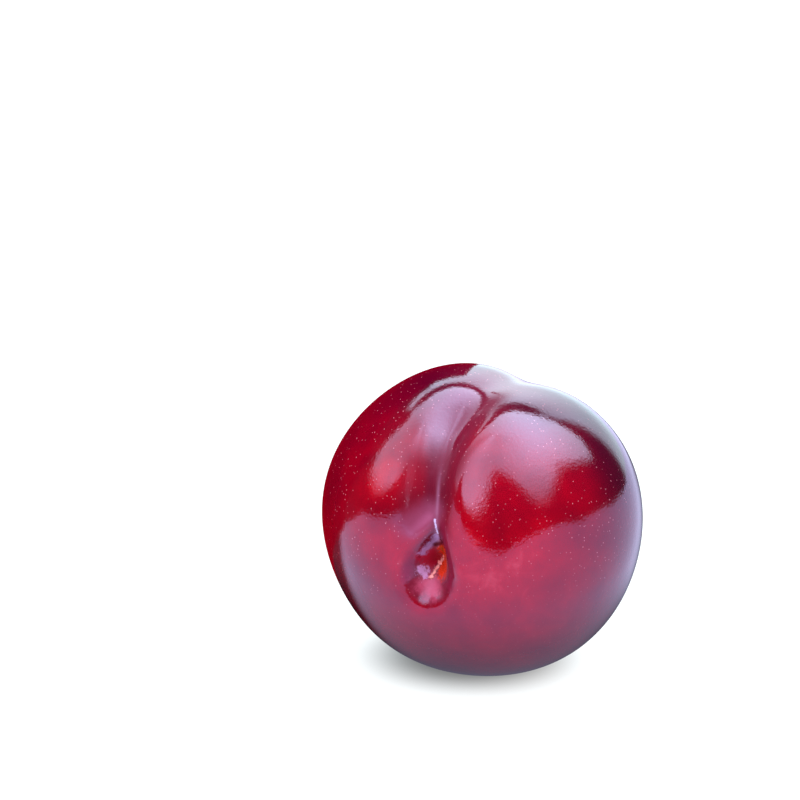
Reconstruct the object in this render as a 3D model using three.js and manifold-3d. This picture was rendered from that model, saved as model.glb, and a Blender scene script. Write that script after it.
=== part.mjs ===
// A whole ripe plum without its stalk, lying on its side with the stalk end forwards.
// Millimetres and degrees, +Z up. The origin is on the surface that the plum rests on,
// under the middle of its bounding box.
import * as THREE from 'three';
import { ParametricGeometry } from 'three/addons/geometries/ParametricGeometry.js';
import { mergeVertices } from 'three/addons/utils/BufferGeometryUtils.js';
import Module from 'manifold-3d';

// The body, measured from its middle.
const cheekRadius = 32.2;
const sutureRadius = 31.9;
const stalkEndRadius = 30.2;
const tipEndRadius = 30.0;
const lobeHeight = 0.2; // how far the faint uneven lobes round the body stand out
const lobeCount = 5;
const lobeTurn = 150;

// The suture, the groove that runs from the stalk end over one side to the tip.
// It is a sharp crease by the stalk end and opens into a wide shallow fold, which
// fades out before the tip, where a short shallow groove takes over. Over the shoulder
// it also has steeper walls. Each range is of angles from the stalk axis.
const suture = {
  stalk: { depth: 0.8, width: 4.0, rounding: 0.35 },
  body: { depth: 3.0, width: 6.5, rounding: 5.0 },
  tip: { depth: 1.2 },
  starts: [3, 16],
  opens: [35, 90],
  fades: [135, 178],
  tipStarts: [140, 165],
  tipFades: [168, 179],
  sidesFade: [60, 90], // angles round the stalk axis
  sway: 7, // how far it wanders sideways, as an angle round the stalk axis
};
const walls = { depth: 2.3, width: [3.6, 7.0], steepness: 2.5, starts: [12, 30], fades: [58, 84] };

// The cavity at the stalk end: a drop-shaped hollow whose point runs up into the
// suture, with a small pit where the stalk stood.
const funnel = { depth: 6.4, halfWidth: 6.0, below: 7.6, above: 11.0, aside: 0.3 };
const funnelRim = 0.3; // how far its rim is rounded on each side, as a share of its size
const pit = { depth: 1.4, halfWidth: 2.6, below: 2.6, above: 4.2, aside: -0.5 };
const pitSteepness = 4;
const dropTaper = 0.62; // share of its width that a drop loses towards its point

// A wide, shallow hollow round the cavity. "up" is how far its middle lies towards the suture.
const shoulder = { depth: 2.2, radius: 9.5, aside: -0.5, up: 5.0 };

// The tip: a slight hollow with the withered style's low point in it.
const tipHollow = { depth: 1.1, radius: 5.0 };
const tipPoint = { height: 0.7, radius: 1.4 };

// How the plum lies.
const heading = 22.5; // the stalk end points this far to the left of -Y
const droop = 5; // and this far below level
const roll = 7; // the suture leans this far to the right
const restDepth = 0.35; // how much of its lowest point is pressed flat

// The mesh, which is finer along the suture and at both ends.
const stepsAlong = 56;
const stepsRound = 80;
const endFineness = 0.78;
const sutureFineness = 0.72;
const joinDistance = 1e-4;

const { clamp, degToRad, euclideanModulo, lerp, radToDeg, smoothstep } = THREE.MathUtils;

// Distance from a drop's centre, 1 on its edge. x runs round the stalk, y up to the suture.
function dropDistance(x, y, drop) {
  const height = y > 0 ? drop.above : drop.below;
  const taper = 1 - dropTaper * clamp(y / drop.above, 0, 1);
  return Math.hypot((x - drop.aside) / (drop.halfWidth * taper), y / height);
}

// Rises from 0 to 1 over one range and falls back over another.
function rangePart(value, starts, fades) {
  return smoothstep(value, ...starts) * (1 - smoothstep(value, ...fades));
}

// Depth of the suture at an angle from the stalk axis and an angle round it, where the
// smooth body has the given radius.
function sutureDepth(fromStalk, round, bodyRadius) {
  const angle = radToDeg(fromStalk);
  const middle = degToRad(suture.sway) * Math.sin(2 * fromStalk);
  const turn = euclideanModulo(round - middle + Math.PI, 2 * Math.PI) - Math.PI;
  const side = Math.min(Math.abs(radToDeg(turn)), suture.sidesFade[1]);
  const open = smoothstep(angle, ...suture.opens);
  const width = lerp(suture.stalk.width, suture.body.width, open);
  const rounding = lerp(suture.stalk.rounding, suture.body.rounding, open);
  const fullDepth = lerp(suture.stalk.depth, suture.body.depth, open);
  const mainDepth = fullDepth * rangePart(angle, suture.starts, suture.fades);
  const tipGroove = suture.tip.depth * rangePart(angle, suture.tipStarts, suture.tipFades);
  const wallDepth = walls.depth * rangePart(angle, walls.starts, walls.fades);
  const sideways = Math.abs(bodyRadius * Math.sin(fromStalk) * Math.sin(degToRad(side)));
  const crease = Math.exp((rounding - Math.hypot(sideways, rounding)) / width);
  const valley = Math.exp(-((sideways / lerp(...walls.width, open)) ** walls.steepness));
  const depth = (mainDepth + tipGroove) * crease + wallDepth * valley;
  return depth * (1 - smoothstep(side, ...suture.sidesFade));
}

// Depth of the cavity at the stalk end.
function cavityDepth(fromStalk, round) {
  const along = fromStalk * stalkEndRadius;
  const x = along * Math.sin(round);
  const y = along * Math.cos(round);
  const inside = 1 - dropDistance(x, y, funnel);
  const rim = clamp(inside + funnelRim, 0, 2 * funnelRim) ** 2 / (4 * funnelRim);
  const cone = rim + Math.max(inside - funnelRim, 0);
  return funnel.depth * cone + pit.depth / (1 + dropDistance(x, y, pit) ** pitSteepness);
}

// Depth of the wide hollow round the cavity.
function shoulderDepth(fromStalk, round) {
  const along = fromStalk * stalkEndRadius;
  const x = along * Math.sin(round) - shoulder.aside;
  const y = along * Math.cos(round) - shoulder.up;
  return shoulder.depth * Math.exp(-(x * x + y * y) / shoulder.radius ** 2);
}

// Depth of the hollow at the tip, less the point in it.
function tipDepth(fromStalk) {
  const along = (Math.PI - fromStalk) * tipEndRadius;
  const hollow = tipHollow.depth * Math.exp(-((along / tipHollow.radius) ** 2));
  return hollow - tipPoint.height * Math.exp(-((along / tipPoint.radius) ** 2));
}

// Distance from the plum's middle to its skin.
function skinRadius(fromStalk, round) {
  const sine = Math.sin(fromStalk);
  const cosine = Math.cos(fromStalk);
  const endRadius = cosine > 0 ? stalkEndRadius : tipEndRadius;
  const towardsSuture = (sine * Math.cos(round)) / sutureRadius;
  const towardsCheek = (sine * Math.sin(round)) / cheekRadius;
  const oval = 1 / Math.hypot(towardsSuture, towardsCheek, cosine / endRadius);
  const body = oval + lobeHeight * sine ** 2 * Math.sin(degToRad(lobeTurn) - lobeCount * round);
  const stalkEnd = cavityDepth(fromStalk, round) + shoulderDepth(fromStalk, round);
  return body - sutureDepth(fromStalk, round, oval) - stalkEnd - tipDepth(fromStalk);
}

// The skin as a surface of two parameters from 0 to 1: along the axis from the stalk end
// to the tip, and once round it from the suture. The stalk axis is +Z, the suture side +X.
function skinPoint(along, round, target) {
  const fromStalk = Math.PI * along - (endFineness / 2) * Math.sin(2 * Math.PI * along);
  const turn = 2 * Math.PI * round - sutureFineness * Math.sin(2 * Math.PI * round);
  target.setFromSphericalCoords(skinRadius(fromStalk, turn), fromStalk, turn);
  target.set(target.z, target.x, target.y);
}

// The turn that lays the plum on its side.
function lyingPose() {
  const stalkAxis = new THREE.Vector3(0, -1, 0);
  stalkAxis.applyAxisAngle(new THREE.Vector3(1, 0, 0), degToRad(droop));
  stalkAxis.applyAxisAngle(new THREE.Vector3(0, 0, 1), -degToRad(heading));
  const sutureSide = new THREE.Vector3(0, 0, 1).projectOnPlane(stalkAxis).normalize();
  sutureSide.applyAxisAngle(stalkAxis, -degToRad(roll));
  const cheekSide = new THREE.Vector3().crossVectors(stalkAxis, sutureSide);
  return new THREE.Matrix4().makeBasis(sutureSide, cheekSide, stalkAxis);
}

// A geometry with only positions, its shared corners joined and its empty triangles dropped.
function joinCorners(geometry) {
  const bare = geometry.clone();
  bare.deleteAttribute('normal');
  bare.deleteAttribute('uv');
  const joined = mergeVertices(bare, joinDistance);
  const corners = Array.from(joined.index.array);
  const kept = [];
  for (let i = 0; i < corners.length; i += 3) {
    const [a, b, c] = corners.slice(i, i + 3);
    if (a !== b && b !== c && c !== a) {
      kept.push(a, b, c);
    }
  }
  joined.setIndex(kept);
  return joined;
}

const wasm = await Module();
wasm.setup();

function toSolid(geometry) {
  const joined = joinCorners(geometry);
  const vertProperties = Float32Array.from(joined.attributes.position.array);
  const triVerts = Uint32Array.from(joined.index.array);
  return new wasm.Manifold(new wasm.Mesh({ numProp: 3, vertProperties, triVerts }));
}

function fromSolid(solid) {
  const mesh = solid.getMesh();
  const geometry = new THREE.BufferGeometry();
  geometry.setAttribute('position', new THREE.BufferAttribute(mesh.vertProperties, 3));
  geometry.setIndex(new THREE.BufferAttribute(mesh.triVerts, 1));
  return geometry;
}

// The plum, lying down, with the flat spot that it rests on cut into its underside.
function plumGeometry() {
  const skin = new ParametricGeometry(skinPoint, stepsAlong, stepsRound);
  skin.applyMatrix4(lyingPose());
  skin.computeBoundingBox();
  const size = skin.boundingBox.getSize(new THREE.Vector3());
  const middle = skin.boundingBox.getCenter(new THREE.Vector3());
  const restLevel = skin.boundingBox.min.z + restDepth;
  const below = new THREE.BoxGeometry(size.x, size.y, size.z);
  below.translate(middle.x, middle.y, restLevel - size.z / 2);
  const geometry = fromSolid(toSolid(skin).subtract(toSolid(below)));
  geometry.translate(-middle.x, -middle.y, -restLevel);
  geometry.computeVertexNormals();
  return geometry;
}

const plumSkin = new THREE.MeshStandardMaterial({ color: 0xa00a18, roughness: 0.22, metalness: 0 });
const plum = new THREE.Mesh(plumGeometry(), plumSkin);
plum.name = 'plum';

const fruit = new THREE.Group();
fruit.add(plum);

export default fruit;
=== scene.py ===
# A whole plum that lies on its side on a pale table.
# Settings are in millimetres and degrees unless they say otherwise; meshes are in metres.
from math import cos, pi, radians, sin
import bpy
import numpy as np
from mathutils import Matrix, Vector


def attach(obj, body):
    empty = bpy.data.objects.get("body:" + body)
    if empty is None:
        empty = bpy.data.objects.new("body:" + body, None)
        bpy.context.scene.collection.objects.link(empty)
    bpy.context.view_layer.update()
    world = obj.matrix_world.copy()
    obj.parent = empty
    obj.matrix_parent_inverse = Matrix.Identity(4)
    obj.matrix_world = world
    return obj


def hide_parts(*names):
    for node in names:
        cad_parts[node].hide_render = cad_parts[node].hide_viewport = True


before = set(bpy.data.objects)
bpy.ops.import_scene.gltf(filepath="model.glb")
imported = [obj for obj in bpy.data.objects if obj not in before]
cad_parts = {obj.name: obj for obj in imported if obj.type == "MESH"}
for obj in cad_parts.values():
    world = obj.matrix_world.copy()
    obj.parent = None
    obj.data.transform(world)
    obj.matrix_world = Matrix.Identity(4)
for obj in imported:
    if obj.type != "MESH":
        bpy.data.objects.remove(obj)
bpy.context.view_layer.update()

print("frame loaded")


class Value:
    # A shader socket that can stand in sums, so that a mask is written as an expression.
    def __init__(self, shader, socket):
        self.shader = shader
        self.socket = socket

    def combine(self, operation, first, second):
        return self.shader.node("ShaderNodeMath", {"operation": operation}, {0: first, 1: second})

    def __add__(self, other): return self.combine("ADD", self, other)
    def __radd__(self, other): return self.combine("ADD", other, self)
    def __sub__(self, other): return self.combine("SUBTRACT", self, other)
    def __rsub__(self, other): return self.combine("SUBTRACT", other, self)
    def __mul__(self, other): return self.combine("MULTIPLY", self, other)
    def __rmul__(self, other): return self.combine("MULTIPLY", other, self)
    def __truediv__(self, other): return self.combine("DIVIDE", self, other)
    def __pow__(self, other): return self.combine("POWER", self, other)


class Shader:
    # Makes the nodes of one material or of the world.
    def __init__(self, owner):
        owner.use_nodes = True
        self.tree = owner.node_tree
        self.tree.nodes.clear()

    def node(self, kind, settings=None, inputs=None, output=0):
        # One node, its settings first, then a value or a link for each socket; gives one output.
        node = self.tree.nodes.new(kind)
        for name, setting in (settings or {}).items():
            if name == "stops":
                self.setStops(node.color_ramp, *setting)
            else:
                setattr(node, name, setting)
        for key, value in (inputs or {}).items():
            if isinstance(value, Value):
                self.tree.links.new(value.socket, node.inputs[key])
            else:
                node.inputs[key].default_value = value
        return Value(self, node.outputs[output]) if len(node.outputs) else None

    def setStops(self, ramp, curve, stops):
        # Stops are pairs of a place from 0 to 1 and a colour.
        ramp.interpolation = curve
        while len(ramp.elements) < len(stops):
            ramp.elements.new(1.0)
        for element, (place, stop) in zip(ramp.elements, stops):
            element.position = place
            element.color = stop

    def rise(self, value, low, high, start=0.0, end=1.0):
        # Goes smoothly from start to end as value goes from low to high.
        return self.node("ShaderNodeMapRange", {"interpolation_type": "SMOOTHSTEP"}, {
            "Value": value, "From Min": low, "From Max": high, "To Min": start, "To Max": end})

    def ramp(self, value, low, high, places):
        # A smooth curve through pairs of a value and a height; no height is under 0.
        top = max(places.values())
        stops = [((at - low) / (high - low), colour(height / top, height / top, height / top))
                 for at, height in places.items()]
        share = (value - low) / (high - low)
        return self.node("ShaderNodeValToRGB", {"stops": ("CARDINAL", stops)}, {0: share}) * top

    def axes(self, vector):
        # The three parts of a vector.
        first = self.node("ShaderNodeSeparateXYZ", {}, {0: vector})
        return [Value(self, socket) for socket in first.socket.node.outputs]

    def attribute(self, name):
        # A number that the mesh holds for each vertex.
        return self.node("ShaderNodeAttribute", {"attribute_name": name}, {}, 2)

    def mix(self, amount, first, second):
        # Colour mix; its sockets are the ones that a Mix node shows for colours.
        sockets = {0: amount, 6: first, 7: second}
        return self.node("ShaderNodeMix", {"data_type": "RGBA"}, sockets, 2)

    def noise(self, place, size, detail=2.0, roughness=0.5, distortion=0.0):
        # Noise with features of about the given size.
        return self.node("ShaderNodeTexNoise", {}, {
            "Vector": place, "Scale": 1000 / size, "Detail": detail, "Roughness": roughness,
            "Distortion": distortion})

    def larger(self, first, second):
        return self.node("ShaderNodeMath", {"operation": "MAXIMUM"}, {0: first, 1: second})

    def smaller(self, first, second):
        return self.node("ShaderNodeMath", {"operation": "MINIMUM"}, {0: first, 1: second})

    def distance(self, place, point):
        # Distance from a point, both in metres, as millimetres.
        return self.node("ShaderNodeVectorMath", {"operation": "DISTANCE"},
                         {0: place, 1: tuple(part / 1000 for part in point)}, 1) * 1000


def colour(red, green, blue):
    return (red, green, blue, 1.0)


plumShape = {
    "cheekRadius": 32.2, "sutureRadius": 31.9, "stalkEndRadius": 30.2, "tipEndRadius": 30.0,
    "lobeHeight": 0.2, "lobeCount": 5, "lobeTurn": 150,
    "sutureStalk": {"depth": 0.8, "width": 4.0, "rounding": 0.35},
    "sutureBody": {"depth": 3.0, "width": 6.5, "rounding": 5.0},
    "sutureWalls": {"depth": 2.3, "widthFrom": 3.6, "widthTo": 7.0, "steepness": 2.5,
                    "starts": (12, 30), "fades": (58, 84)},
    "sutureTipDepth": 1.2,
    "sutureStarts": (3, 16), "sutureOpens": (35, 90), "sutureFades": (135, 178),
    "sutureTipStarts": (140, 165), "sutureTipFades": (168, 179), "sutureSidesFade": (60, 90),
    "sutureSway": 7,
    "funnel": {"depth": 6.4, "halfWidth": 6.0, "below": 7.6, "above": 11.0, "aside": 0.3,
               "rim": 0.3},
    "pit": {"depth": 1.4, "halfWidth": 2.6, "below": 2.6, "above": 4.2, "aside": -0.5,
            "steepness": 4},
    "dropTaper": 0.62,
    "shoulder": {"depth": 2.2, "radius": 9.5, "aside": -0.5, "up": 5.0},
    "creaseWidth": 0.4, "creaseStarts": (4, 12), "creaseFades": (24, 45),
    "matteDepth": (0.8, 2.4), "matteFades": (45, 58),
    # The banks beside the suture are dull, and the skin also darkens them as painted shade.
    "banks": {
        "bankRight": {"middle": (-2.2, -4.0), "moves": (26, 50), "width": 2.3, "steepness": 2,
                      "starts": (12, 20), "fades": (76, 90)},
        "bankLeft": {"middle": (4.3, 3.8), "moves": (30, 48), "width": 4.0, "steepness": 4,
                     "starts": (25, 32), "fades": (42, 56)},
    },
    "tipHollow": {"depth": 1.1, "radius": 5.0}, "tipPoint": {"height": 0.7, "radius": 1.4},
    "heading": 22.5, "droop": 5, "roll": 7, "restDepth": 0.35,
    "stepsAlong": 224, "stepsRound": 416, "endFineness": 0.78, "sutureFineness": 0.72,
}


def riseOf(x, low, high):
    # 0 under low and 1 over high; between them three times the share's square less twice its cube.
    share = np.clip((x - low) / (high - low), 0, 1)
    return share * share * (3 - 2 * share)


def between(first, second, share):
    # First plus the share of the way to second.
    return first + (second - first) * share


def dropDistance(x, y, drop, taper):
    # Distance from a drop's middle, 1 on its edge; x across it, y towards its point.
    height = np.where(y > 0, drop["above"], drop["below"])
    width = drop["halfWidth"] * (1 - taper * np.clip(y / drop["above"], 0, 1))
    return np.hypot((x - drop["aside"]) / width, y / height)


def sutureDepth(shape, fromStalk, turn, bodyRadius):
    # Depth times exp((rounding - hypot(sideways, rounding)) / width), with depth, width and
    # rounding that change along the axis and a middle line that sways by sin(2 fromStalk),
    # plus walls, their depth times exp(-(sideways / width) ** steepness).
    angle = np.degrees(fromStalk)
    middle = radians(shape["sutureSway"]) * np.sin(2 * fromStalk)
    off = (turn - middle + pi) % (2 * pi) - pi
    side = np.minimum(np.abs(np.degrees(off)), shape["sutureSidesFade"][1])
    opened = riseOf(angle, *shape["sutureOpens"])
    stalk, body = shape["sutureStalk"], shape["sutureBody"]
    width = between(stalk["width"], body["width"], opened)
    rounding = between(stalk["rounding"], body["rounding"], opened)
    depth = between(stalk["depth"], body["depth"], opened)
    depth = depth * riseOf(angle, *shape["sutureStarts"])
    depth = depth * (1 - riseOf(angle, *shape["sutureFades"]))
    tipPart = riseOf(angle, *shape["sutureTipStarts"])
    tipPart = tipPart * (1 - riseOf(angle, *shape["sutureTipFades"]))
    sideways = bodyRadius * np.sin(fromStalk) * np.sin(np.radians(side))
    profile = np.exp((rounding - np.hypot(sideways, rounding)) / width)
    walls = shape["sutureWalls"]
    valley = between(walls["widthFrom"], walls["widthTo"], opened)
    depthOfWalls = walls["depth"] * riseOf(angle, *walls["starts"])
    depthOfWalls = depthOfWalls * (1 - riseOf(angle, *walls["fades"]))
    fold = (depth + shape["sutureTipDepth"] * tipPart) * profile
    total = fold + depthOfWalls * np.exp(-(np.abs(sideways) / valley) ** walls["steepness"])
    return total * (1 - riseOf(side, *shape["sutureSidesFade"]))


def cavityDepth(shape, fromStalk, turn):
    # A cone with a rounded rim, and in it a pit, 1 / (1 + distance ** steepness).
    along = fromStalk * shape["stalkEndRadius"]
    x, y = along * np.sin(turn), along * np.cos(turn)
    funnel, pit, taper = shape["funnel"], shape["pit"], shape["dropTaper"]
    inside = 1 - dropDistance(x, y, funnel, taper)
    rim = np.clip(inside + funnel["rim"], 0, 2 * funnel["rim"]) ** 2 / (4 * funnel["rim"])
    cone = rim + np.maximum(inside - funnel["rim"], 0)
    pitShare = 1 / (1 + dropDistance(x, y, pit, taper) ** pit["steepness"])
    return funnel["depth"] * cone + pit["depth"] * pitShare


def shoulderDepth(shape, fromStalk, turn):
    # A wide, shallow, bell-shaped hollow round the cavity.
    along = fromStalk * shape["stalkEndRadius"]
    shoulder = shape["shoulder"]
    x, y = along * np.sin(turn) - shoulder["aside"], along * np.cos(turn) - shoulder["up"]
    return shoulder["depth"] * np.exp(-(x * x + y * y) / shoulder["radius"] ** 2)


def tipDepth(shape, fromStalk):
    # A bell-shaped hollow less a small bell-shaped point.
    along = (pi - fromStalk) * shape["tipEndRadius"]
    hollow, point = shape["tipHollow"], shape["tipPoint"]
    return (hollow["depth"] * np.exp(-(along / hollow["radius"]) ** 2)
            - point["height"] * np.exp(-(along / point["radius"]) ** 2))


def skinRadius(shape, fromStalk, turn):
    # An ellipsoid with faint lobes, less the suture, the cavity and the hollow at the tip.
    sine, cosine = np.sin(fromStalk), np.cos(fromStalk)
    endRadius = np.where(cosine > 0, shape["stalkEndRadius"], shape["tipEndRadius"])
    oval = 1 / np.sqrt((sine * np.cos(turn) / shape["sutureRadius"]) ** 2
                       + (sine * np.sin(turn) / shape["cheekRadius"]) ** 2
                       + (cosine / endRadius) ** 2)
    lobes = np.sin(radians(shape["lobeTurn"]) - shape["lobeCount"] * turn)
    lobes = shape["lobeHeight"] * sine ** 2 * lobes
    hollows = (sutureDepth(shape, fromStalk, turn, oval) + cavityDepth(shape, fromStalk, turn)
               + shoulderDepth(shape, fromStalk, turn))
    return oval + lobes - hollows - tipDepth(shape, fromStalk)


def lyingAxes(shape):
    # Suture side, cheek side and stalk axis of the lying plum. The axis points to the front,
    # turned left by heading and down by droop, and the suture is on top, rolled about it.
    heading, droop, roll = (radians(shape[name]) for name in ("heading", "droop", "roll"))
    stalkAxis = Vector((-sin(heading) * cos(droop), -cos(heading) * cos(droop), -sin(droop)))
    up = (Vector((0, 0, 1)) - stalkAxis * stalkAxis.z).normalized()
    sutureSide = up * cos(roll) - stalkAxis.cross(up) * sin(roll)
    return np.array([sutureSide, stalkAxis.cross(sutureSide), stalkAxis])


# Marks in the cavity: strokes on its floor, in millimetres across and towards the suture. Besides
# the skin's own colours of the pit, floor, scar and bark, they paint shade, reflections and
# highlights.
cavityMarks = {
    # The next two strokes are painted shade: a dark, dull band down the cavity's right wall.
    "brimShade": {"from": (-0.9, 10.4), "to": (-4.1, 2.8), "radius": 1.5, "edge": (0.1, 1.2),
             "ragged": 0.4, "colour": (0.17, 0.004, 0.02), "amount": 0.8, "matte": 0.85},
    "brimShadeEnd": {"from": (-4.1, 2.8), "to": (-4.6, -2.2), "radius": 1.3, "edge": (0.1, 1.2),
                "ragged": 0.4, "colour": (0.17, 0.004, 0.02), "amount": 0.8, "matte": 0.85},
    # The next two strokes are painted reflection: the pale table's mauve sheen where the gloss
    # doesn't show it.
    "tableReflectionPatch": {"from": (6.0, 8.9), "to": (2.3, 12.8), "radius": 2.8, "edge": (0.0, 1.6),
             "ragged": 0.2, "colour": (0.22, 0.035, 0.08), "amount": 0.75, "matte": 0.3},
    "tableReflectionStrip": {"from": (5.0, 7.6), "to": (2.5, 11.4), "radius": 1.1, "edge": (0.0, 1.6),
             "ragged": 0.15, "colour": (0.27, 0.045, 0.10), "amount": 0.85, "matte": 0.35},
    # Painted shade: a milder dark band on the cavity's left wall.
    "brimLeftShade": {"from": (4.8, 2.8), "to": (5.4, -2.6), "radius": 1.3, "edge": (0.1, 1.2),
                 "ragged": 0.6, "colour": (0.24, 0.02, 0.06), "amount": 0.5, "matte": 0.6},
    "pit": {"from": (2.2, 2.4), "to": (1.4, 0.4), "radius": 2.4, "edge": (0.3, 1.3),
            "ragged": 1.5, "colour": (0.34, 0.002, 0.018), "amount": 0.9, "matte": 0.7},
    "floor": {"from": (3.0, -4.4), "to": (-2.4, -3.9), "radius": 2.4, "edge": (0.1, 1.3),
              "ragged": 0.8, "colour": (0.22, 0.012, 0.03), "amount": 0.4, "matte": 0.7},
    # Painted reflection: the pale table's pink light on the cavity's lower slope.
    "slopeReflection": {"from": (1.4, -3.6), "to": (-0.6, -4.6), "radius": 2.2, "edge": (0.1, 1.3),
              "ragged": 1.2, "colour": (0.40, 0.04, 0.085), "amount": 0.85, "matte": 0.7},
    # Painted reflection: a lavender streak down the cavity's upper left wall.
    "wallReflection": {"from": (0.6, 7.4), "to": (3.3, 2.9), "radius": 0.8, "edge": (0.2, 1.2),
             "ragged": 2.6, "colour": (0.32, 0.15, 0.33), "amount": 0.75, "matte": 0.2},
    "scar": {"from": (-0.8, 4.4), "to": (-1.1, -1.2), "radius": 1.9, "edge": (0.5, 1.1),
             "ragged": 1.4, "colour": (0.62, 0.022, 0.002), "amount": 0.95, "matte": 0.75},
    "bark": {"from": (-0.5, 4.4), "to": (-1.7, 2.0), "radius": 1.0, "edge": (0.2, 1.2),
             "ragged": 2.2, "colour": (0.32, 0.05, 0.002), "amount": 0.8, "matte": 0.75},
    # Painted shadow: the dark top of the cavity's interior.
    "throatShadow": {"from": (0.9, 5.2), "to": (-0.6, 5.9), "radius": 0.8, "edge": (0.2, 1.2),
               "ragged": 1.6, "colour": (0.07, 0.0, 0.004), "amount": 0.9, "matte": 0.9},
    # Painted reflection: a ragged lilac patch on the lower slope, over slightly raised skin.
    "lilacReflection": {"from": (2.3, -2.5), "to": (3.1, -1.2), "radius": 1.0, "edge": (0.3, 1.1),
              "ragged": 3.2, "colour": (0.50, 0.19, 0.38), "amount": 0.8, "matte": 0.3},
    # Painted highlight: a ragged pink glint on the raised crumbs of the scar.
    "crumbHighlights": {"from": (-0.2, 1.2), "to": (0.9, -2.8), "radius": 0.55, "edge": (0.3, 1.2),
               "ragged": 3.4, "colour": (0.92, 0.25, 0.24), "amount": 0.95, "matte": 0.6},
    # Painted highlight: a thin pale streak at the top of the cavity.
    "gleam": {"from": (1.3, 11.4), "to": (0.4, 8.4), "radius": 0.25, "edge": (0.2, 1.2),
              "ragged": 3.0, "colour": (0.7, 0.5, 0.8), "amount": 0.7, "matte": 0.4},
}


def strokeDistance(x, y, stroke):
    # Distance from a line between two points, 1 at the stroke's radius.
    (x0, y0), (x1, y1) = stroke["from"], stroke["to"]
    across, up = x1 - x0, y1 - y0
    share = np.clip(((x - x0) * across + (y - y0) * up) / (across ** 2 + up ** 2), 0, 1)
    return np.hypot(x - x0 - share * across, y - y0 - share * up) / stroke["radius"]


def skinFields(shape, marks, fromStalk, turn):
    # What the material reads at each point: the depths of cavity and suture, the distance from
    # every mark, and 0 to 1 for the dull fold, for the crease, exp(-(aside / width) ** 2), and
    # for each dull bank, exp(-(distance from its middle / width) ** steepness).
    angle = np.degrees(fromStalk)
    off = turn - radians(shape["sutureSway"]) * np.sin(2 * fromStalk)
    aside = np.sin(off) * np.sin(fromStalk) * shape["cheekRadius"]
    sutureSide = np.cos(off) > 0
    crease = np.exp(-(aside / shape["creaseWidth"]) ** 2) * sutureSide
    crease = crease * riseOf(angle, *shape["creaseStarts"])
    crease = crease * (1 - riseOf(angle, *shape["creaseFades"]))
    suture = sutureDepth(shape, fromStalk, turn, shape["cheekRadius"])
    matte = riseOf(suture, *shape["matteDepth"]) * (1 - riseOf(angle, *shape["matteFades"]))
    cavity = cavityDepth(shape, fromStalk, turn)
    fields = {"cavity": cavity, "suture": suture, "crease": crease, "matte": matte}
    for name, bank in shape["banks"].items():
        middle = between(*bank["middle"], riseOf(angle, *bank["moves"]))
        band = np.exp(-np.abs((aside - middle) / bank["width"]) ** bank["steepness"]) * sutureSide
        fields[name] = band * riseOf(angle, *bank["starts"]) * (1 - riseOf(angle, *bank["fades"]))
    x, y = (fromStalk * shape["stalkEndRadius"] * side for side in (np.sin(turn), np.cos(turn)))
    fields.update({name: strokeDistance(x, y, mark) for name, mark in marks.items()})
    return fields


def plumPiece(shape, marks):
    # The skin on a grid of angles: along the axis from the stalk end, and once round it from
    # the suture. Both are warped by a sine, which makes the grid finer at the ends and suture.
    # Each point is skinRadius away in its direction, and the plum is a little flat underneath.
    along = np.linspace(0, 1, shape["stepsAlong"] + 1)
    around = np.arange(shape["stepsRound"]) / shape["stepsRound"]
    along, around = np.meshgrid(along, around, indexing="ij")
    fromStalk = pi * along - shape["endFineness"] / 2 * np.sin(2 * pi * along)
    turn = 2 * pi * around - shape["sutureFineness"] * np.sin(2 * pi * around)
    sine = np.sin(fromStalk)
    ways = np.stack([sine * np.cos(turn), sine * np.sin(turn), np.cos(fromStalk)], -1)
    ways = ways @ lyingAxes(shape)
    places = skinRadius(shape, fromStalk, turn)[..., None] * ways
    low, high = places.min((0, 1)), places.max((0, 1))
    places -= [(low[0] + high[0]) / 2, (low[1] + high[1]) / 2, low[2] + shape["restDepth"]]
    places[..., 2] = np.maximum(places[..., 2], 0)
    columns = shape["stepsRound"]
    # One vertex at each end, and the rings between them.
    vertices = np.concatenate([places[0, :1], places[1:-1].reshape(-1, 3), places[-1, :1]]) / 1000
    rings = 1 + np.arange((shape["stepsAlong"] - 1) * columns).reshape(-1, columns)
    right = np.roll(rings, -1, 1)
    quads = np.stack([rings[:-1], rings[1:], right[1:], right[:-1]], -1).reshape(-1, 4)
    last = len(vertices) - 1
    caps = [(0, a, b) for a, b in zip(rings[0].tolist(), right[0].tolist())]
    caps += [(last, b, a) for a, b in zip(rings[-1].tolist(), right[-1].tolist())]
    mesh = bpy.data.meshes.new("plum_skin")
    mesh.from_pydata(vertices.tolist(), [], quads.tolist() + caps)
    mesh.validate()
    mesh.polygons.foreach_set("use_smooth", [True] * len(mesh.polygons))
    for name, values in skinFields(shape, marks, fromStalk, turn).items():
        values = np.concatenate([values[0, :1], values[1:-1].ravel(), values[-1, :1]])
        attribute = mesh.attributes.new(name, "FLOAT", "POINT")
        attribute.data.foreach_set("value", values.astype(np.float32))
    piece = bpy.data.objects.new("plum_skin", mesh)
    bpy.context.scene.collection.objects.link(piece)
    return piece


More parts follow.
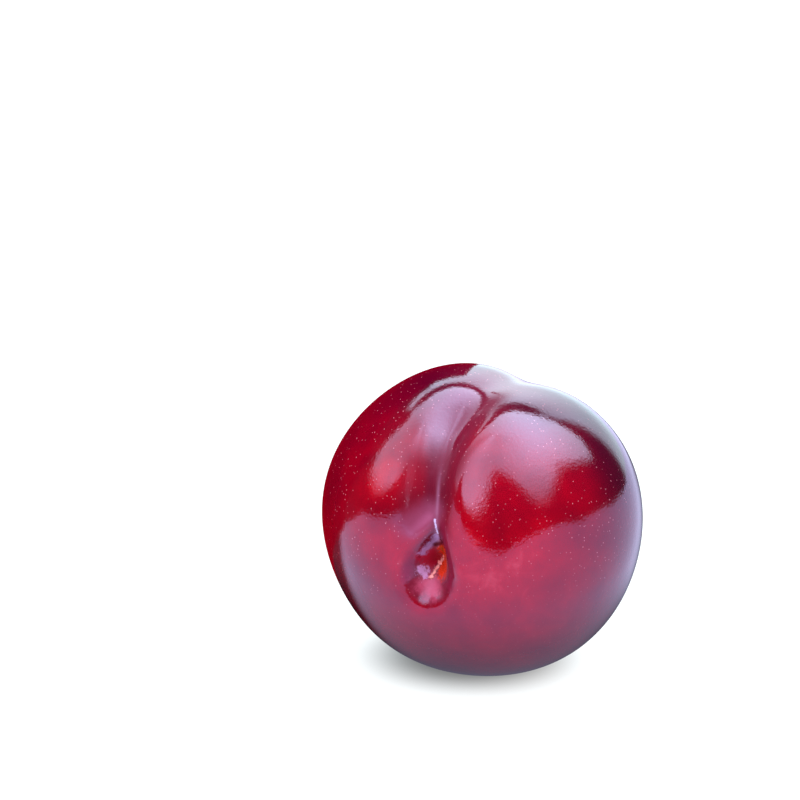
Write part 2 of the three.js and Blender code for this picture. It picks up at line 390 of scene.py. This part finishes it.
skinLook = {
    # Redness by how far right a point lies, then how much of it is left behind and on top.
    "across": (-32, 32),
    "redness": {-32: 0.58, -28: 0.62, -24: 0.68, -20: 0.8, -12: 0.76, 2: 0.73, 13: 0.70, 20: 0.48,
                25: 0.30, 30: 0.12},
    "behind": (-17, 5), "behindLeft": 0.3,
    # Redness falls low down as painted shade, and falls again near the top.
    "heights": (0, 62),
    "byHeight": {0: 0.08, 6: 0.22, 12: 0.5, 24: 1.0, 32: 0.96, 40: 0.78, 46: 0.80, 50: 0.80,
                 54: 0.70, 60: 0.14},
    "leanTurns": (22, 44), "leanRight": (-0.12, 0.3), "leanLeft": (0.2, 0.0),
    "wine": colour(0.023, 0.0, 0.005), "red": colour(0.333, 0.0, 0.005),
    "glow": colour(0.45, 0.028, 0.045), "glowRedness": (1.15, 1.7), "glowBlotches": 0.5,
    "glowEnds": (46, 52),
    # Paler and darker flushes: where, full and faded distance, and how much redder. The second is
    # painted shade beside the suture's crease.
    "flushes": [((-18.7, -19.7, 45.3), 1.5, 7, 0.65), ((-15.5, -23.5, 41.5), 1, 6.5, -0.42),
                ((-23.5, -15.5, 24), 4, 14, -0.3), ((-12, -17, 53), 3, 12, -0.3),
                ((-3, -27, 33), 3, 13, 0.35), ((27, -12, 47), 4, 12, -0.7),
                ((-19, -8, 54), 2, 9, -0.35), ((-23.2, -16.5, 43.5), 1.5, 6, 0.3),
                ((11, -28, 35.5), 1.5, 8.5, 0.42), ((-20.5, -21, 38.8), 1, 5, -0.3)],
    # A noise is its size, then the detail, roughness and distortion where they aren't the usual.
    "patches": (10,), "patchAmount": 0.6, "blotches": (4.5, 3, 0.6, 0.8), "blotchAmount": 0.3,
    # Painted shade: the suture's groove and its banks are darkened.
    "groove": colour(0.09, 0.002, 0.011), "grooveDepth": (0.6, 2.6), "grooveDark": 0.85,
    "bankShade": 0.75, "bankLeftShade": 0.35, "bloom": colour(0.48, 0.17, 0.31), "creaseBloom": 0.33,
    # Painted shade: a dark ring just inside the rim of the stalk cavity.
    "rim": colour(0.077, 0.003, 0.013), "rimShadeDepth": (0.15, 1.2), "rimShadeAmount": 0.8,
    # Painted reflection: the pale table's mauve light deep in the cavity.
    "slopeReflection": colour(0.235, 0.028, 0.05), "slopeReflectionDepth": (2.0, 4.2), "slopeReflectionAmount": 0.8,
    # The pale dots: fewer low down, and crowded in some places.
    "specks": {"cell": 1.02, "radius": (0.07, 0.17), "colour": colour(0.55, 0.16, 0.20),
               "amount": 0.6, "cavity": (0.5, 2), "heights": (20, 38), "low": 0.2, "leanLeft": 0.3,
               "crowdSize": 14, "crowds": (0.35, 0.65), "sparse": 0.35},
    "grooveMatte": 0.8, "bankMatte": 0.95, "matteRoughness": 0.5, "matteShine": 0.08,
    "ior": 1.5, "shine": 0.56, "shineTint": colour(0.88, 0.62, 0.95),
    "gloss": 0.1, "dull": 0.36, "dullDepth": (1.0, 3.5), "grooveDull": 0.26,
    "torn": (0.8, 4, 0.65, 0.6), "scarHeight": 0.35, "crumbRelief": 0.5, "lilacReflectionRelief": 0.5,
    "pores": (0.55,), "poreHeight": 0.016, "dimples": (2.2,), "dimpleHeight": 0.022,
    "crinkles": (1.1, 3, 0.6, 1.5), "crinkleSpot": ((10.5, -13.8, 57.2), 0.5, 3.2),
    "crinkleHeight": 0.035,
}


def skinRedness(s, place, x, y, z, blotches, look):
    # A curve across the fruit times one over its height, times patches, flushes and blotches.
    redness = s.ramp(x, *look["across"], look["redness"])
    redness = redness * s.rise(y, *look["behind"], 1, look["behindLeft"])
    lean = s.larger(x, 0.0) * s.rise(z, *look["leanTurns"], *look["leanRight"])
    lean = lean + s.smaller(x, 0.0) * s.rise(z, *look["leanTurns"], *look["leanLeft"])
    # Darker low down: painted shade.
    redness = redness * s.ramp(z + lean, *look["heights"], look["byHeight"])
    redness = redness * (1 + look["patchAmount"] * (2 * s.noise(place, *look["patches"]) - 1))
    for point, near, far, amount in look["flushes"]:
        redness = redness * s.rise(s.distance(place, point), near, far, 1 + amount, 1)
    return redness * (1 + look["blotchAmount"] * (2 * blotches - 1))


def speckMask(s, place, x, z, cavity, dots):
    # A dot at the middle of each cell, fainter low down and where few grow, none in the cavity.
    cells = s.node("ShaderNodeTexVoronoi", {}, {"Vector": place, "Scale": 1000 / dots["cell"]})
    near, far = (radius / dots["cell"] for radius in dots["radius"])
    mask = s.rise(cells, near, far, dots["amount"], 0) * s.rise(cavity, *dots["cavity"], 1, 0)
    mask = mask * s.rise(z - dots["leanLeft"] * s.smaller(x, 0.0), *dots["heights"], dots["low"], 1)
    return mask * s.rise(s.noise(place, dots["crowdSize"]), *dots["crowds"], dots["sparse"], 1)


def skinMaterial(look, marks):
    # A glossy skin and a dull one of the same colour, mixed where the skin is matte.
    material = bpy.data.materials.new("plum_skin")
    s = Shader(material)
    place = s.node("ShaderNodeTexCoord", output=3)
    x, y, z = (part * 1000 for part in s.axes(place))
    cavity, suture, fold = s.attribute("cavity"), s.attribute("suture"), s.attribute("matte")
    bankRight, bankLeft = s.attribute("bankRight"), s.attribute("bankLeft")
    blotches = s.noise(place, *look["blotches"])
    redness = skinRedness(s, place, x, y, z, blotches, look)
    base = s.mix(redness, look["wine"], look["red"])
    glow = s.rise(redness + look["glowBlotches"] * blotches, *look["glowRedness"])
    base = s.mix(glow * s.rise(z, *look["glowEnds"], 1, 0), base, look["glow"])
    # Painted shade: darker in the suture's groove and on the banks beside it.
    grooveDark = s.rise(suture, *look["grooveDepth"]) * look["grooveDark"]
    grooveDark = s.larger(grooveDark, bankRight * look["bankShade"])
    base = s.mix(s.larger(grooveDark, bankLeft * look["bankLeftShade"]), base, look["groove"])
    # Painted shade: a dark ring just inside the cavity's rim.
    base = s.mix(s.rise(cavity, *look["rimShadeDepth"]) * look["rimShadeAmount"], base, look["rim"])
    specks = speckMask(s, place, x, z, cavity, look["specks"])
    base = s.mix(specks, base, look["specks"]["colour"])
    # Painted reflection of the table's light deep in the cavity.
    base = s.mix(s.rise(cavity, *look["slopeReflectionDepth"]) * look["slopeReflectionAmount"], base, look["slopeReflection"])
    base = s.mix(s.attribute("crease") * look["creaseBloom"], base, look["bloom"])
    # The torn dry scar of the stalk and the other marks in the cavity, with their painted shade,
    # reflections and highlights.
    torn = s.noise(place, *look["torn"])
    matte = s.larger(fold * look["grooveMatte"], s.larger(bankRight, bankLeft) * look["bankMatte"])
    masks = {}
    for name, mark in marks.items():
        masks[name] = s.rise(s.attribute(name) + mark["ragged"] * (torn - 0.5), *mark["edge"], 1, 0)
        base = s.mix(masks[name] * mark["amount"], base, colour(*mark["colour"]))
        matte = s.larger(matte, masks[name] * mark["matte"])
    # The relief is in millimetres: a rough scar, fine pores, shallow dimples and a few crinkles.
    relief = masks["scar"] * torn + masks["crumbHighlights"] * look["crumbRelief"]
    relief = (relief + masks["lilacReflection"] * torn * look["lilacReflectionRelief"]) * look["scarHeight"]
    relief = relief + s.noise(place, *look["pores"]) * look["poreHeight"]
    relief = relief + s.noise(place, *look["dimples"]) * look["dimpleHeight"]
    point, near, far = look["crinkleSpot"]
    crinkles = s.noise(place, *look["crinkles"]) * s.rise(s.distance(place, point), near, far, 1, 0)
    relief = relief + crinkles * look["crinkleHeight"]
    normal = s.node("ShaderNodeBump", {}, {"Height": relief, "Distance": 0.001})
    roughness = s.larger(s.rise(cavity, *look["dullDepth"], look["gloss"], look["dull"]),
                         s.rise(fold, 0, 1, look["gloss"], look["grooveDull"]))
    shared = {"Base Color": base, "Normal": normal, "IOR": look["ior"],
              "Specular Tint": look["shineTint"]}
    glossy = s.node("ShaderNodeBsdfPrincipled", {}, {
        **shared, "Roughness": roughness, "Specular IOR Level": look["shine"]})
    dull = s.node("ShaderNodeBsdfPrincipled", {}, {
        **shared, "Roughness": look["matteRoughness"], "Specular IOR Level": look["matteShine"]})
    mixed = s.node("ShaderNodeMixShader", {}, {0: matte, 1: glossy, 2: dull})
    s.node("ShaderNodeOutputMaterial", {}, {"Surface": mixed})
    return material


plum = plumPiece(plumShape, cavityMarks)
plum.data.materials.append(skinMaterial(skinLook, cavityMarks))
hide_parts("plum")
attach(plum, "root")
print("plum made:", len(plum.data.polygons), "faces")


table = {
    "front": -280, "back": 2500, "side": 2500, "white": colour(0.1, 0.1, 0.1), "glow": 0.95,
    "shadeAt": (-2.5, 6.5), "shade": (10, 26), "shadeLeft": 0.22,
}


def stagePlane(name, corners, material):
    # One face through four corners in millimetres, as a piece of the stage.
    vertices = [tuple(part / 1000 for part in corner) for corner in corners]
    mesh = bpy.data.meshes.new(name)
    mesh.from_pydata(vertices, [], [(0, 1, 2, 3)])
    mesh.materials.append(material)
    piece = bpy.data.objects.new(name, mesh)
    bpy.context.scene.collection.objects.link(piece)
    return piece


def tableCorners(look):
    # A level oblong at height 0, as far to the left as to the right.
    front, back, side = look["front"], look["back"], look["side"]
    return [(-side, front, 0), (side, front, 0), (side, back, 0), (-side, back, 0)]


def onlyReflected(piece):
    # Glossy rays see the piece, and nothing else does.
    piece.visible_camera = False
    piece.visible_diffuse = False
    piece.visible_shadow = False
    piece.visible_transmission = False


def tablePiece(look):
    # White, with a round soft shade where the plum rests, by the distance from its middle.
    material = bpy.data.materials.new("table_white")
    s = Shader(material)
    x, y = (part * 1000 for part in s.axes(s.node("ShaderNodeTexCoord", output=3))[:2])
    aside, along = x - look["shadeAt"][0], y - look["shadeAt"][1]
    away = (aside * aside + along * along) ** 0.5
    glow = look["glow"] * s.rise(away, *look["shade"], look["shadeLeft"], 1)
    surface = s.node("ShaderNodeBsdfPrincipled", {}, {
        "Base Color": look["white"], "Roughness": 1.0, "Specular IOR Level": 0.0,
        "Emission Color": s.mix(glow, colour(0, 0, 0), colour(1, 1, 1)), "Emission Strength": 1.0})
    s.node("ShaderNodeOutputMaterial", {}, {"Surface": surface})
    piece = stagePlane("table", tableCorners(look), material)
    piece.visible_glossy = False  # reflections see the sheen instead


# The table as the skin reflects it: bright, with a wide soft shadow under the plum.
sheen = {
    "front": -1300, "back": 2500, "side": 2500,
    "middle": (0.5, 30), "halfWidth": 50, "halfLength": 57.5, "widening": 0.4,
    "edge": (0.6, 1.35), "farOpens": (150, 400),
    "shaded": 0.18, "open": 2.45, "tint": colour(0.66, 0.71, 1.03),
    "frontFade": (-275, -190), "frontLeanFrom": -200, "frontLean": 0.9, "frontLeanRight": 2.4,
    "leftShade": {"from": -20, "sideSoftness": 10, "lean": 0.4, "most": 48, "softness": 7,
                  "left": 0.04},
}


def sheenPiece(look):
    # Dark where the hypot of across and along is under about 1, which is half an ellipse in
    # front of the middle and a widening strip behind it. The light fades out to the front.
    material = bpy.data.materials.new("table_sheen")
    s = Shader(material)
    x, y = (part * 1000 for part in s.axes(s.node("ShaderNodeTexCoord", output=3))[:2])
    along = y - look["middle"][1]
    behind = s.larger(along, 0.0)
    across = (x - look["middle"][0]) / (look["halfWidth"] + look["widening"] * behind)
    along = (along - behind) / look["halfLength"]
    nearness = s.larger(look["frontLeanFrom"] - x, 0.0) * look["frontLean"]
    nearness = nearness + s.larger(x, 0.0) * look["frontLeanRight"]
    fade = s.rise(y + nearness, *look["frontFade"])
    away = (across * across + along * along) ** 0.5 + s.rise(behind, *look["farOpens"])
    bright = s.rise(away, *look["edge"], look["shaded"], look["open"])
    # Painted shade to the left and behind, as if something dark stood there.
    dark = look["leftShade"]
    edge = s.smaller((dark["from"] - x) * dark["lean"], dark["most"])
    hidden = s.rise(y - edge, -dark["softness"], dark["softness"])
    hidden = hidden * s.rise(x - dark["from"], -dark["sideSoftness"], dark["sideSoftness"], 1, 0)
    bright = bright * (1 - hidden * (1 - dark["left"])) * fade
    surface = s.node("ShaderNodeEmission", {}, {"Color": look["tint"], "Strength": bright})
    s.node("ShaderNodeOutputMaterial", {}, {"Surface": surface})
    onlyReflected(stagePlane("table_sheen", tableCorners(look), material))


# A dark red screen close behind, on the left, which only reflections see.
screen = {"left": -150, "right": 1.1, "back": 40, "top": 95, "light": colour(0.4, 0.0, 0.005)}


def screenPiece(look):
    # An upright oblong of even light.
    material = bpy.data.materials.new("back_screen")
    s = Shader(material)
    surface = s.node("ShaderNodeEmission", {}, {"Color": look["light"], "Strength": 1.0})
    s.node("ShaderNodeOutputMaterial", {}, {"Surface": surface})
    left, right, back, top = (look[edge] for edge in ("left", "right", "back", "top"))
    corners = [(left, back, 0), (right, back, 0), (right, back, top), (left, back, top)]
    onlyReflected(stagePlane("back_screen", corners, material))


# Brightness of the studio by direction. Azimuth 0 is the front and grows to the right.
# A softbox fills all that is over lowerEdge: dim by azimuth, and brighter towards brightSide.
# The backdrop reaches from backdropFrom round the back to backdropTo. A low strip lies over
# the table's far edge, on the right, up to stripTop less stripUnder.
studio = {
    "lowerEdge": {-180: 59.5, -150: 59.5, -136: 52, -121: 47, -112: 32, -104: 20, -96: 16, -82: 14,
                  -72: 20, -60: 40, -48: 24, -38: 12, -28: 9, -20: 14, -12: 24, -5: 37, 2: 48,
                  10: 50, 22: 40, 36: 26, 50: 31, 66: 41, 80: 41, 98: 33, 112: 30, 128: 48,
                  142: 58, 180: 59.5},
    "softness": (7, 1.5), "softnessBack": (-0.3, 0.5),
    "dim": {-180: 4.6, -130: 4.8, -105: 3.5, -88: 3.5, -70: 4.8, -60: 5.7, -20: 6.0, 5: 3.6,
            35: 2.6, 60: 3.2, 90: 4.6, 180: 4.6},
    "bright": 8.2, "brightSide": 110, "brightFrom": -0.35, "brightTo": 0.45, "brightRise": (25, 68),
    "backdrop": (2.7, 5.3), "backdropRise": (10, 40), "backdropFrom": 134, "backdropTo": -138,
    "backdropSoftness": 5, "backdropTop": 48, "backdropTopSoftness": 2,
    "backdropRight": 0.8, "backdropRightEnds": (145, 172),
    "backdropLow": 20, "backdropLeftLow": 42, "backdropLowRises": (-180, -160),
    "backdropLowSoftness": 3,
    "stripTop": {-180: 0, 6: 0, 15: 2, 24: 5, 33: 8, 42: 10, 53: 10.5, 65: 8.5, 83: 9, 100: 7,
                 117: 5, 135: 2, 150: 0, 180: 0},
    "stripUnder": 5, "stripSoftness": 1.5, "strip": 2.35, "stripTint": colour(0.66, 0.71, 1.03),
    "dark": 0.05, "seen": 1.5, "tint": colour(0.72, 0.98, 1.08),
}


def studioWorld(light):
    # Dark, plus the softbox times dim and bright times gain, plus backdrop, plus strip, and
    # plain white where the camera looks past everything.
    world = bpy.data.worlds.new("studio")
    bpy.context.scene.world = world
    s = Shader(world)
    x, y, z = s.axes(s.node("ShaderNodeTexCoord", output=0))
    elevation = s.node("ShaderNodeMath", {"operation": "ARCSINE"}, {0: z}) * (180 / pi)
    azimuth = s.node("ShaderNodeMath", {"operation": "ARCTAN2"}, {0: x, 1: -1 * y}) * (180 / pi)
    edge = s.ramp(azimuth, -180, 180, light["lowerEdge"])
    softness = s.rise(y, *light["softnessBack"], *light["softness"])
    softbox = s.rise(elevation - edge, -1 * softness, softness)
    side = radians(light["brightSide"])
    towards = x * sin(side) - y * cos(side)
    gain = s.rise(towards, light["brightFrom"], light["brightTo"])
    gain = gain * s.rise(elevation, *light["brightRise"])
    softbox = softbox * (s.ramp(azimuth, -180, 180, light["dim"]) + light["bright"] * gain)
    soft = light["backdropSoftness"]
    behind = s.rise(azimuth - light["backdropFrom"], -soft, soft)
    behind = behind * s.rise(azimuth, *light["backdropRightEnds"], light["backdropRight"], 1)
    behindLeft = s.rise(azimuth - light["backdropTo"], -soft, soft, 1, 0)
    low = s.rise(azimuth, *light["backdropLowRises"], light["backdropLow"],
                 light["backdropLeftLow"])
    soft = light["backdropLowSoftness"]
    behind = behind + behindLeft * s.rise(elevation - low, -soft, soft)
    soft = light["backdropTopSoftness"]
    behind = behind * s.rise(elevation - light["backdropTop"], -soft, soft, 1, 0)
    backdrop = behind * s.rise(elevation, *light["backdropRise"], *light["backdrop"])
    top = s.ramp(azimuth, -180, 180, light["stripTop"]) - light["stripUnder"]
    strip = s.rise(elevation - top, -light["stripSoftness"], light["stripSoftness"], 1, 0)
    strength = light["dark"] + softbox + backdrop + strip * light["strip"]
    lit = s.node("ShaderNodeBackground", {}, {
        "Color": s.mix(strip, light["tint"], light["stripTint"]), "Strength": strength})
    seen = s.node("ShaderNodeBackground", {}, {"Color": colour(1, 1, 1), "Strength": light["seen"]})
    camera = s.node("ShaderNodeLightPath", output=0)
    mixed = s.node("ShaderNodeMixShader", {}, {0: camera, 1: lit, 2: seen})
    s.node("ShaderNodeOutputWorld", {}, {"Surface": mixed})


view = {
    "elevation": 17, "distance": 750, "middleHeight": 31.5,
    "millimetresPerPixel": 0.1992, "plumPixel": (481.9, 517.0), "picturePixels": 800, "sensor": 36,
}


def aimCamera(setup):
    # Looks down at the plum from the front, with the plum's middle at its own pixel.
    tilt = radians(setup["elevation"])
    right, up = Vector((1, 0, 0)), Vector((0, sin(tilt), cos(tilt)))
    back = right.cross(up)
    half, scale = setup["picturePixels"] / 2, setup["millimetresPerPixel"] / 1000
    aim = (Vector((0, 0, setup["middleHeight"] / 1000))
           + right * (half - setup["plumPixel"][0]) * scale
           + up * (setup["plumPixel"][1] - half) * scale)
    pictureWidth = setup["picturePixels"] * setup["millimetresPerPixel"]
    lens = bpy.data.cameras.new("camera")
    lens.sensor_width = setup["sensor"]
    lens.lens = setup["sensor"] * setup["distance"] / pictureWidth
    camera = bpy.data.objects.new("camera", lens)
    camera.location = aim + back * setup["distance"] / 1000
    camera.rotation_mode = "QUATERNION"
    camera.rotation_quaternion = back.to_track_quat("Z", "Y")
    bpy.context.scene.collection.objects.link(camera)
    bpy.context.scene.camera = camera


tablePiece(table)
sheenPiece(sheen)
screenPiece(screen)
studioWorld(studio)
aimCamera(view)
bpy.context.scene.view_settings.view_transform = "Standard"
print("studio made")
